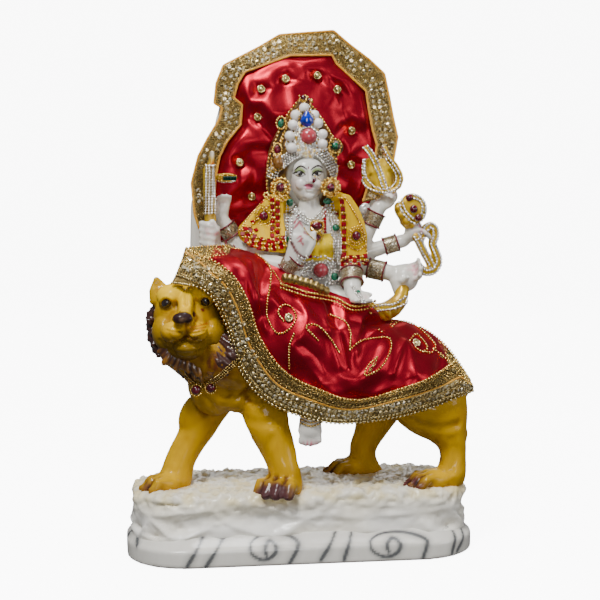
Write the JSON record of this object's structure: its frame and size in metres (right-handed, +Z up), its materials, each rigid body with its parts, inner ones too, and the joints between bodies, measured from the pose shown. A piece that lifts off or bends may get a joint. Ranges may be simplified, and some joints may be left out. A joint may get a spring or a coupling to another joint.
{
  "type": "durga figure",
  "caption": "Painted figure of a many-armed goddess riding a walking lion on a rock plinth, dressed in red satin with gold lace, pearls and glued stones before an arched back.",
  "frame": {"origin": "centre of the plinth's flat underside", "axes": "+Z up, -Y towards the front that the goddess and the lion face, -X towards the lion's head"},
  "size_m": [0.2462, 0.1165, 0.366],
  "materials": {
    "cast_marble_dust": "gloss paint over cast marble dust: yellow lion, white figure, plinth and rock",
    "red_satin": "satin",
    "gold_lace": "metallic thread",
    "pearl": "pearl lustre",
    "blue_stone": "faceted",
    "coral_stone": "polished",
    "green_stone": "polished",
    "red_stone": "polished",
    "gilt_setting": "gilt"
  },
  "bodies": {
    "root": {"backdrop_lace": "gold_lace", "backdrop_satin": "red_satin", "backdrop_stud_1": "gilt_setting", "backdrop_stud_2": "gilt_setting", "backdrop_stud_3": "gilt_setting", "backdrop_stud_4": "gilt_setting", "backdrop_stud_5": "gilt_setting", "backdrop_stud_6": "gilt_setting", "backdrop_stud_7": "gilt_setting", "backdrop_stud_8": "gilt_setting", "backdrop_stud_9": "gilt_setting", "belt_coral": "coral_stone", "belt_green_stone": "green_stone", "collar_stone_left": "red_stone", "collar_stone_right": "red_stone", "conch_stone_1": "red_stone", "conch_stone_2": "red_stone", "conch_stone_3": "red_stone", "crown_blue_stone": "blue_stone", "crown_coral": "coral_stone", "crown_pearl_left_1": "pearl", "crown_pearl_left_2": "pearl", "crown_pearl_left_3": "pearl", "crown_pearl_left_4": "pearl", "crown_pearl_right_1": "pearl", "crown_pearl_right_2": "pearl", "crown_pearl_right_3": "pearl", "crown_pearl_right_4": "pearl", "crown_pearl_top": "pearl", "ear_green_left": "green_stone", "ear_green_right": "green_stone", "earring_left": "gilt_setting", "earring_right": "gilt_setting", "necklace_flower": "red_stone", "palm_green_stone": "green_stone", "pendant": "gilt_setting", "shawl_green_stone": "green_stone", "shawl_stone_left": "red_stone", "shawl_stone_right": "red_stone", "skirt_lace": "gold_lace", "skirt_satin": "red_satin", "skirt_stud_1": "gilt_setting", "skirt_stud_2": "gilt_setting", "statue_casting": "cast_marble_dust"}
  },
  "joints": []
}
